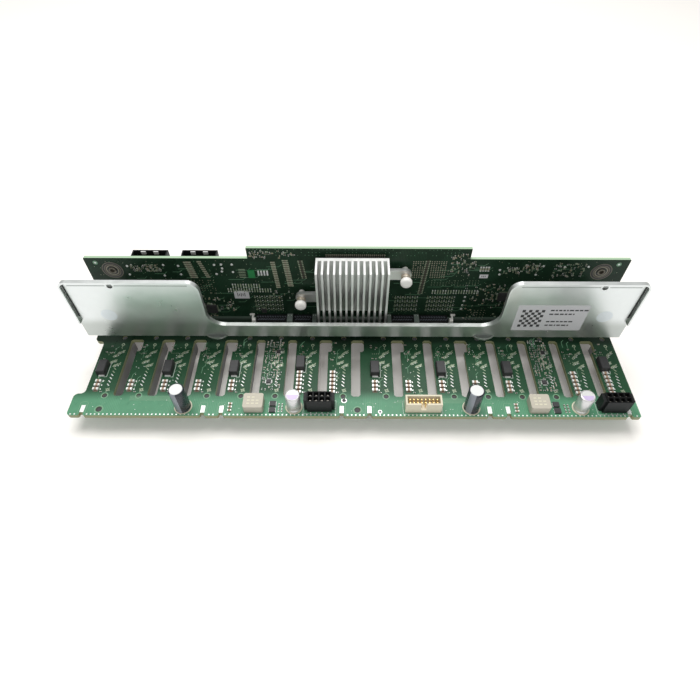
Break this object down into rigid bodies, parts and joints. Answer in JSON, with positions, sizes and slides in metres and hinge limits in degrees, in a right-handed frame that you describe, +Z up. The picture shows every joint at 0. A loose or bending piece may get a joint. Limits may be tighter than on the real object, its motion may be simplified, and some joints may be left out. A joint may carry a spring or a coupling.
{
  "type": "drive backplane board",
  "caption": "Drive backplane: slotted board lying on its drive connectors, an expander board with a finned heat sink standing on it, and a formed steel bracket.",
  "frame": {"origin": "middle of the backplane board in X and Y, at the feet of the drive connectors in Z", "axes": "+X along the row of drive bays, +Y from the near edge to the expander board, +Z up"},
  "size_m": [0.296, 0.075, 0.0666],
  "materials": {
    "board_green": "satin solder mask",
    "zinc_steel": "bright zinc plate",
    "bare_aluminium": "satin",
    "black_nylon": "matte",
    "beige_nylon": "matte",
    "white_nylon": "satin",
    "spring_steel": "satin",
    "gold_pins": "polished",
    "tin_pins": "polished",
    "can_sleeve": "gloss",
    "can_aluminium": "satin",
    "choke_grey": "matte",
    "chip_black": "matte",
    "chip_ceramic": "matte",
    "pad_grey": "matte"
  },
  "bodies": {
    "root": {"backplane_board": "board_green", "bay_capacitors": "chip_ceramic", "board_header_left": "black_nylon", "board_header_right": "black_nylon", "board_socket_left": "black_nylon", "board_socket_right": "black_nylon", "bracket": "zinc_steel", "bracket_spacers": "zinc_steel", "bulk_capacitor_left": "can_sleeve", "bulk_capacitor_right": "can_sleeve", "drive_connector_01": "black_nylon", "drive_connector_02": "black_nylon", "drive_connector_03": "black_nylon", "drive_connector_04": "black_nylon", "drive_connector_05": "black_nylon", "drive_connector_06": "black_nylon", "drive_connector_07": "black_nylon", "drive_connector_08": "black_nylon", "drive_connector_09": "black_nylon", "drive_connector_10": "black_nylon", "drive_connector_11": "black_nylon", "drive_connector_12": "black_nylon", "drive_connector_13": "black_nylon", "drive_connector_14": "black_nylon", "drive_connector_15": "black_nylon", "drive_connector_16": "black_nylon", "expander_board": "board_green", "expander_chip": "chip_black", "heat_sink": "bare_aluminium", "inductor_left": "choke_grey", "inductor_right": "choke_grey", "mini_sas_left": "black_nylon", "mini_sas_right": "black_nylon", "pin_spring_left": "spring_steel", "pin_spring_right": "spring_steel", "polymer_capacitor_left": "can_aluminium", "polymer_capacitor_right": "can_aluminium", "power_header_left": "black_nylon", "power_header_right": "black_nylon", "power_pins": "tin_pins", "push_pin_left": "white_nylon", "push_pin_right": "white_nylon", "regulator_chips": "chip_black", "signal_header": "beige_nylon", "signal_pins": "gold_pins", "strip_block_01": "chip_black", "strip_block_02": "chip_black", "strip_block_03": "chip_black", "strip_block_04": "chip_black", "strip_block_05": "chip_black", "strip_block_06": "chip_black", "strip_block_07": "chip_black", "strip_block_08": "chip_black", "thermal_pad": "pad_grey"}
  },
  "joints": []
}
